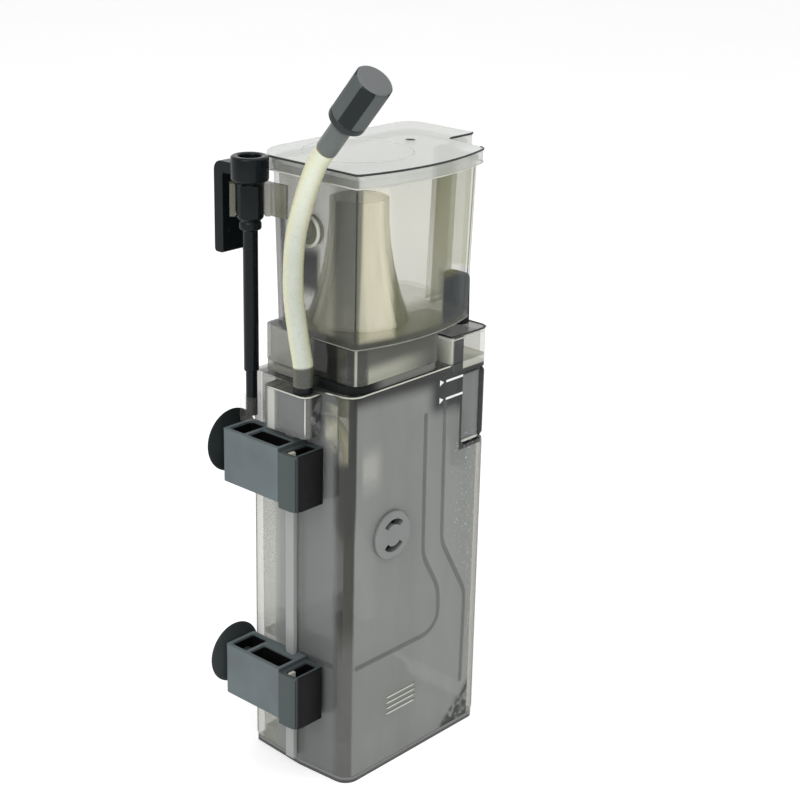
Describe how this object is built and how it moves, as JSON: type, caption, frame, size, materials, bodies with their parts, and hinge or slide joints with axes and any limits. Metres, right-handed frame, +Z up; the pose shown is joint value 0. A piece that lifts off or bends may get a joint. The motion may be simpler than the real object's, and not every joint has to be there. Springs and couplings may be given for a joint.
{
  "type": "in-tank protein skimmer",
  "caption": "Slim in-tank protein skimmer: smoke-clear housing with needle-wheel pump, lift-off collection cup with riser, air hose with valve knob, hanger tube and suction-cup brackets",
  "frame": {"origin": "centre of the housing's plan on the underside of the base plate", "axes": "X along the front face to the right, Y back towards the tank glass, Z up"},
  "size_m": [0.132, 0.1015, 0.3409],
  "materials": {
    "smoke_clear": "smoke-tinted clear moulded plastic",
    "cup_clear": "clear moulded plastic with a faint olive tint",
    "dark_grey": "dark grey satin moulded plastic",
    "black_plastic": "black satin moulded plastic",
    "black_rubber": "black rubber",
    "silicone": "milky translucent silicone",
    "connector_grey": "mid grey plastic",
    "ceramic": "white ceramic shaft",
    "magnet": "dark ferrite magnet"
  },
  "bodies": {
    "housing": {"main_housing": "smoke_clear", "base_plate": "smoke_clear", "intake_hood": "smoke_clear", "reaction_chamber": "smoke_clear", "intake_partition": "smoke_clear", "bracket_rail": "smoke_clear", "tube_lug": "smoke_clear", "air_box": "smoke_clear", "neck_seal": "black_rubber", "cable_gland": "black_rubber", "pump_motor": "dark_grey", "pump_volute": "dark_grey", "pump_outlet": "dark_grey", "inner_tube": "black_plastic", "air_nipple": "black_plastic", "weir_post": "black_plastic", "valve_connector": "connector_grey", "air_hose": "silicone", "inner_air_hose": "silicone", "rotor_shaft": "ceramic"},
    "cup": {"collection_cup": "cup_clear", "riser_cone": "cup_clear", "cup_neck": "cup_clear", "drain_boss": "cup_clear", "cup_clip": "cup_clear", "hanger_tube": "black_plastic", "hanger_hook": "black_plastic"},
    "lid": {"cup_lid": "cup_clear"},
    "upper_clamp": {"upper_bracket": "dark_grey"},
    "lower_clamp": {"lower_bracket": "dark_grey"},
    "upper_pad": {"upper_suction_cup": "black_rubber"},
    "lower_pad": {"lower_suction_cup": "black_rubber"},
    "dial": {"outlet_dial": "smoke_clear", "dial_clip": "smoke_clear"},
    "valve": {"air_valve_knob": "dark_grey"},
    "rotor": {"needle_wheel": "black_plastic", "rotor_magnet": "magnet"},
    "float": {"weir_float": "black_plastic"}
  },
  "joints": [
    {"name": "cup_lift", "type": "slide", "parent": "housing", "child": "cup", "axis": [0, 0, 1], "range_m": [0, 0.05]},
    {"name": "lid_lift", "type": "slide", "parent": "cup", "child": "lid", "axis": [0, 0, 1], "range_m": [0, 0.03]},
    {"name": "upper_clamp_slide", "type": "slide", "parent": "housing", "child": "upper_clamp", "axis": [0, 0, 1], "range_m": [-0.04, 0.002]},
    {"name": "lower_clamp_slide", "type": "slide", "parent": "housing", "child": "lower_clamp", "axis": [0, 0, 1], "range_m": [-0.025, 0.03]},
    {"name": "upper_pad_turn", "type": "hinge", "parent": "upper_clamp", "child": "upper_pad", "pos_m": [-0.0575, 0.0295, 0.161], "axis": [0, 1, 0], "range_deg": [-180, 180]},
    {"name": "lower_pad_turn", "type": "hinge", "parent": "lower_clamp", "child": "lower_pad", "pos_m": [-0.0575, 0.0295, 0.0517], "axis": [0, 1, 0], "range_deg": [-180, 180]},
    {"name": "dial_turn", "type": "hinge", "parent": "housing", "child": "dial", "pos_m": [-0.019, -0.0305, 0.1216], "axis": [0, 1, 0], "range_deg": [-90, 90]},
    {"name": "valve_turn", "type": "hinge", "parent": "housing", "child": "valve", "pos_m": [-0.05645, -0.03482, 0.31739], "axis": [-0.0186, -0.6487, 0.7608], "range_deg": [-270, 270]},
    {"name": "rotor_spin", "type": "hinge", "parent": "housing", "child": "rotor", "pos_m": [-0.0095, -0.01, 0.031], "axis": [0, 1, 0], "continuous": true},
    {"name": "float_rise", "type": "slide", "parent": "housing", "child": "float", "axis": [0, 0, 1], "range_m": [0, 0.02]}
  ]
}
